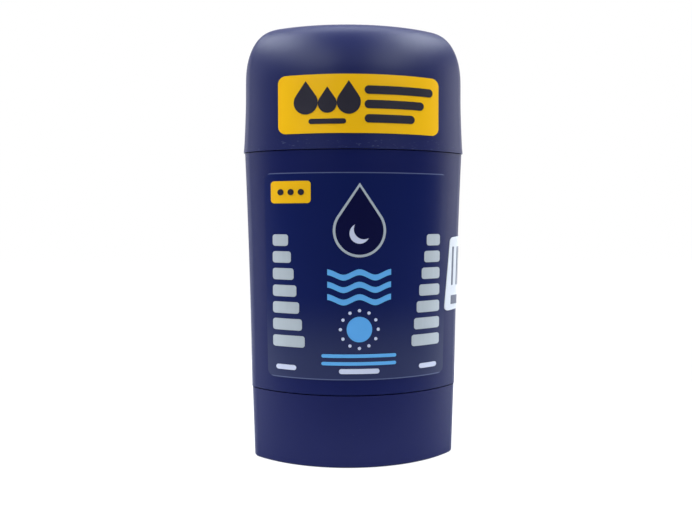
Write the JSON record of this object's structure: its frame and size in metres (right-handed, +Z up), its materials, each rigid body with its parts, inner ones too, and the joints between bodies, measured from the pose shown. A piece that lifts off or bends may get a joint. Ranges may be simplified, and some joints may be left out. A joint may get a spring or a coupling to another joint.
{
  "type": "deodorant stick",
  "caption": "Twist-up deodorant stick in a flattened oval pack: a pull-off domed cap, and a dial under the foot that winds the stick up on a screw.",
  "frame": {"origin": "middle of the foot, on the surface the pack stands on", "axes": "+Z up along the pack, +X to the right of the front face, and the front face looks along -Y"},
  "size_m": [0.06, 0.034, 0.118],
  "materials": {
    "cap_plastic": "satin",
    "barrel_plastic": "satin",
    "base_plastic": "satin",
    "dial_plastic": "satin",
    "spindle_plastic": "satin",
    "carrier_plastic": "satin",
    "cast_stick": "matt wax",
    "seal_plastic": "satin",
    "label_film": "smooth film",
    "sticker_yellow": "smooth film",
    "sticker_white": "smooth film",
    "ink_dark": "ink",
    "ink_grey": "ink",
    "ink_yellow": "ink",
    "ink_silver": "ink",
    "ink_blue": "ink",
    "ink_navy": "ink",
    "ink_white": "ink"
  },
  "bodies": {
    "housing": {"barrel": "barrel_plastic", "base": "base_plastic", "front_label": "label_film", "back_label": "label_film", "side_sticker": "sticker_white", "side_sticker_print": "ink_grey", "label_flash_yellow": "ink_yellow", "label_flash_dots": "ink_dark", "label_steps_silver": "ink_silver", "label_drop_silver": "ink_silver", "label_drop_navy": "ink_navy", "label_waves_blue": "ink_blue", "label_badge_blue": "ink_blue", "label_ticks_white": "ink_white"},
    "screw": {"spindle": "spindle_plastic", "dial": "dial_plastic"},
    "carriage": {"stick_carrier": "carrier_plastic", "deodorant_stick": "cast_stick"},
    "seal": {"seal_cover": "seal_plastic"},
    "cap": {"cap": "cap_plastic", "cap_sticker": "sticker_yellow", "cap_sticker_print": "ink_dark"}
  },
  "joints": [
    {"name": "dial_turn", "type": "hinge", "parent": "housing", "child": "screw", "pos_m": [0, 0, 0.015], "axis": [0, 0, 1], "range_deg": [0, 3781]},
    {"name": "stick_lift", "type": "slide", "parent": "housing", "child": "carriage", "axis": [0, 0, 1], "range_m": [0, 0.042]},
    {"name": "seal_lift", "type": "slide", "parent": "carriage", "child": "seal", "axis": [0, 0, 1], "range_m": [0, 0.03]},
    {"name": "cap_lift", "type": "slide", "parent": "seal", "child": "cap", "axis": [0, 0, 1], "range_m": [0, 0.045]}
  ],
  "couplings": [
    {"joint": "dial_turn", "follows": "stick_lift", "rad_per_m": 1570.8}
  ]
}
